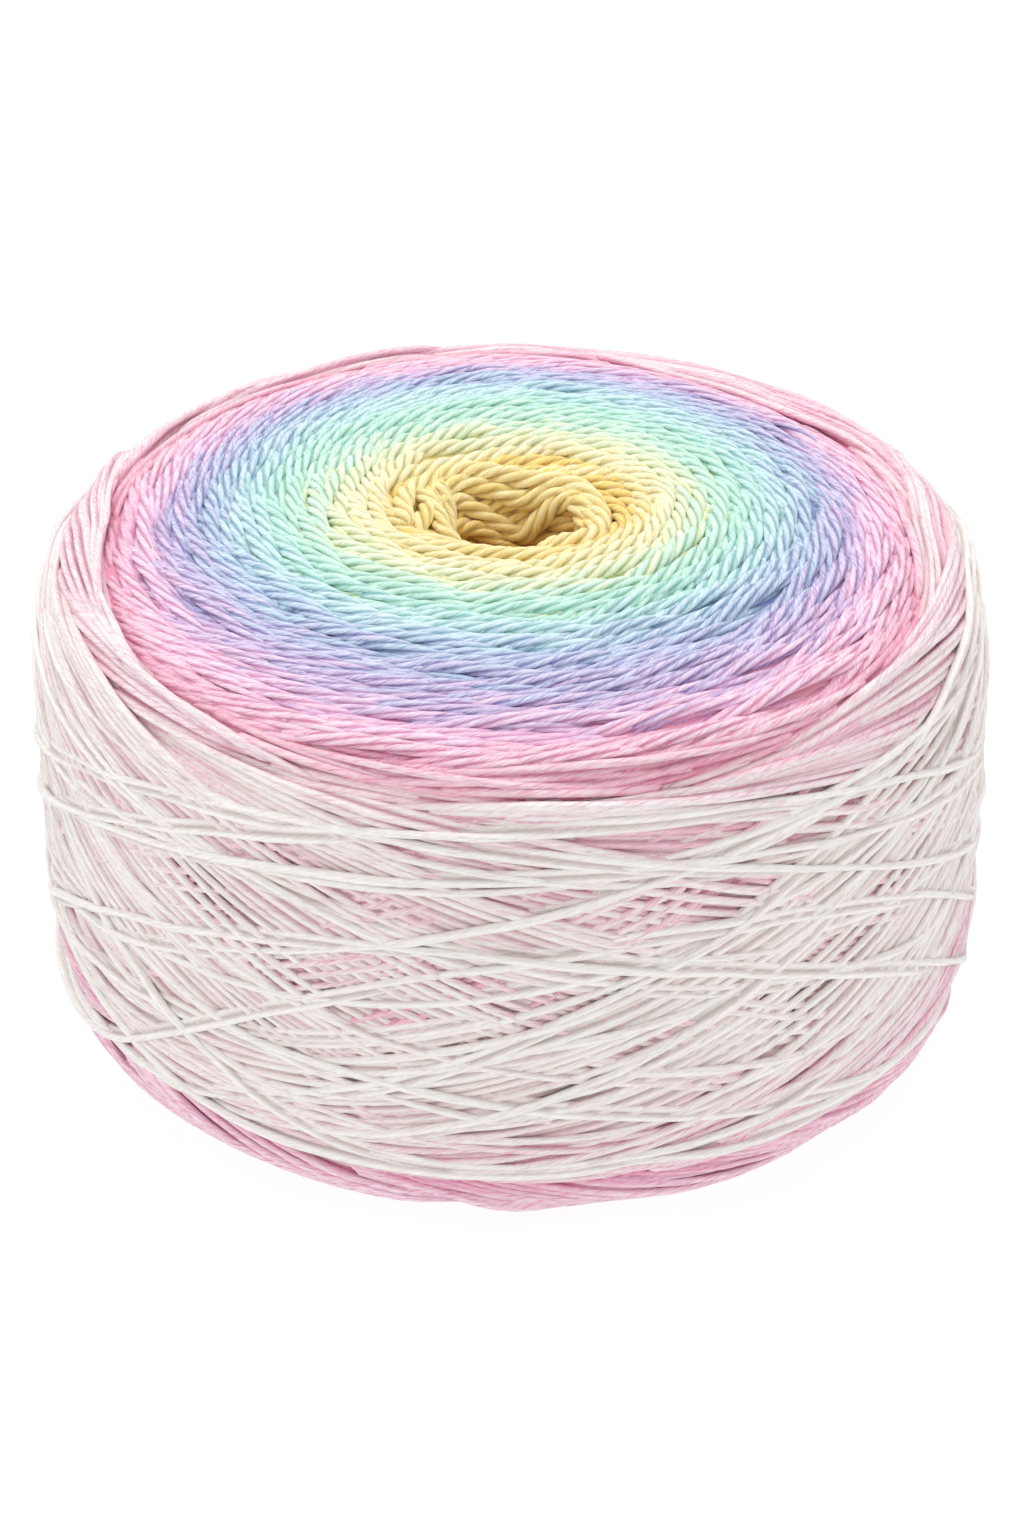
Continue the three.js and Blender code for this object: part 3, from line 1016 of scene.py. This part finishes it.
def yarn_material():
    """The dyed yarn with painted shade, which reads the dye, groove and deep values of the mesh, and the
    strand's UV map.
    """
    material = bpy.data.materials.new("dyed_yarn_painted_shade")
    material.use_nodes = True
    tree = material.node_tree
    link = tree.links.new
    shader = tree.nodes["Principled BSDF"]
    dye, groove = attribute(tree, "dye"), attribute(tree, "groove")
    lit, shaded_colour = dye_ramp(tree, dye, 1), dye_ramp(tree, dye, 2)
    bundles, fibres = streaks(tree, BUNDLES, 2), streaks(tree, FIBRES, 1)
    # painted shade: the shaded colour is mixed in by the groove and by the depth below the surface
    shade = combined(tree, "MAXIMUM", remap(tree, groove, *GROOVE_SHADE), attribute(tree, "deep"))
    colour = mixed(tree, "MIX", shade, lit, shaded_colour)
    # painted shade in streaks where fibres part
    colour = mixed(tree, "MIX", remap(tree, bundles, *BUNDLE_SHADE), colour, shaded_colour)
    # pale fibres screened on: partly the yarn's own, partly painted sheen
    colour = mixed(tree, "SCREEN", remap(tree, fibres, *FIBRE_PALE_AND_SHEEN), colour, linear(PALE_FIBRE_AND_SHEEN))
    # painted shadow on the line between two plies, darkest in the groove
    colour = mixed(tree, "MULTIPLY", remap(tree, groove, *GROOVE_LINE_SHADOW), colour, linear(PLY_LINE_SHADOW))
    link(colour, shader.inputs["Base Color"])
    bump = node_with(tree, "ShaderNodeBump", Strength=0.8, Distance=0.0003)
    link(combined(tree, "ADD", bundles, remap(tree, fibres, *FIBRE_BUMP)), bump.inputs["Height"])
    link(bump.outputs["Normal"], shader.inputs["Normal"])
    link(remap(tree, bundles, *BUNDLE_ROUGHNESS), shader.inputs["Roughness"])
    set_inputs(shader, Sheen_Weight=0.25, Sheen_Roughness=0.5)
    return material


yarn = yarn_material()
for piece in pieces:
    piece.data.materials.append(yarn)
    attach(piece, "root")
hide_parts("yarn_cake")
print(len(pieces), "pieces wear the yarn")

# %% [markdown]
# ## The floor
# The photo is cut out on white. A floor that glows a little stays as white as the paper around the cake,
# where a plain one would turn grey and take on the yarn's pink.

# %% Floor
FLOOR_HALF, FLOOR_DROP = 3, 0.2 * MM    # metres
FLOOR_GREY, FLOOR_GLOW = 0.15, 0.88
corners = [(x * FLOOR_HALF, y * FLOOR_HALF, -FLOOR_DROP) for x, y in ((-1, -1), (1, -1), (1, 1), (-1, 1))]
floor_mesh = bpy.data.meshes.new("floor")
floor_mesh.from_pydata(corners, [], [(0, 1, 2, 3)])
floor = add_object("floor", floor_mesh)
paper = bpy.data.materials.new("pale_floor")
paper.use_nodes = True
set_inputs(paper.node_tree.nodes["Principled BSDF"], Base_Color=(FLOOR_GREY, FLOOR_GREY, FLOOR_GREY, 1),
           Roughness=0.9, Emission_Color=(1, 1, 1, 1), Emission_Strength=FLOOR_GLOW)
floor_mesh.materials.append(paper)
print(f"the floor lies {FLOOR_DROP / MM} mm below the foot")

# %% [markdown]
# ## Light
# The photo's light is soft and comes from all round, mostly from above. White surroundings give the even
# part of it, and large round lamps the rest. A sun would draw hard lines between the strands.

# %% Light
SURROUNDINGS = 0.72
# Name, place in metres, size in metres and power in watts
LAMPS = [
    ("key", (-0.1, 0.2, 1.0), 0.6, 4.5),
    ("left", (-1.0, -0.2, 0.5), 0.8, 2.0),
    ("right", (1.0, -0.2, 0.5), 0.8, 1.2),
    ("back", (0.3, 0.9, 0.6), 0.8, 1.0),
    ("front", (0.1, -1.0, 0.4), 0.8, 0.8),
]


def area_light(name, spot, size, power):
    """A round lamp that shines from its spot towards the middle of the cake."""
    data = bpy.data.lights.new(name, "AREA")
    data.shape, data.size, data.energy = "DISK", size, power
    lamp = add_object(name, data)
    lamp.location = spot
    direction = np.array((0, 0, HEIGHT * MM / 2)) - np.array(spot)
    flat = math.hypot(direction[0], direction[1])
    lamp.rotation_euler = (math.atan2(flat, -direction[2]), 0, math.atan2(-direction[0], direction[1]))


world = bpy.data.worlds.new("studio")
world.use_nodes = True
set_inputs(world.node_tree.nodes["Background"], Color=(1, 1, 1, 1), Strength=SURROUNDINGS)
bpy.context.scene.world = world
for lamp in LAMPS:
    area_light(*lamp)
print(len(LAMPS), "lamps")

# %% [markdown]
# ## Camera
# The camera stands where the photographer stood: close, and looking 30 degrees down on the cake.

# %% Camera
PHOTO_LONG_SIDE, FOCAL_PIXELS = 1536, 4050
DISTANCE = 0.650    # metres
PITCH = math.radians(30)
LOOK_LOWER = -0.021     # shift of the picture, as a share of its long side
camera_data = bpy.data.cameras.new("camera")
camera_data.sensor_width = 36
camera_data.lens = FOCAL_PIXELS / PHOTO_LONG_SIDE * camera_data.sensor_width
camera_data.shift_y = LOOK_LOWER
camera_data.clip_end = 20
camera = add_object("camera", camera_data)
camera.location = (0, -DISTANCE * math.cos(PITCH), HEIGHT * MM / 2 + DISTANCE * math.sin(PITCH))
camera.rotation_euler = (math.pi / 2 - PITCH, 0, 0)
bpy.context.scene.camera = camera
bpy.context.scene.view_settings.view_transform = "Standard"
print(f"the camera has a {camera_data.lens:.0f} mm lens, {DISTANCE} m away")

# %% [markdown]
# ## The end
# The view layer is brought up to date.

# %% The end
bpy.context.view_layer.update()
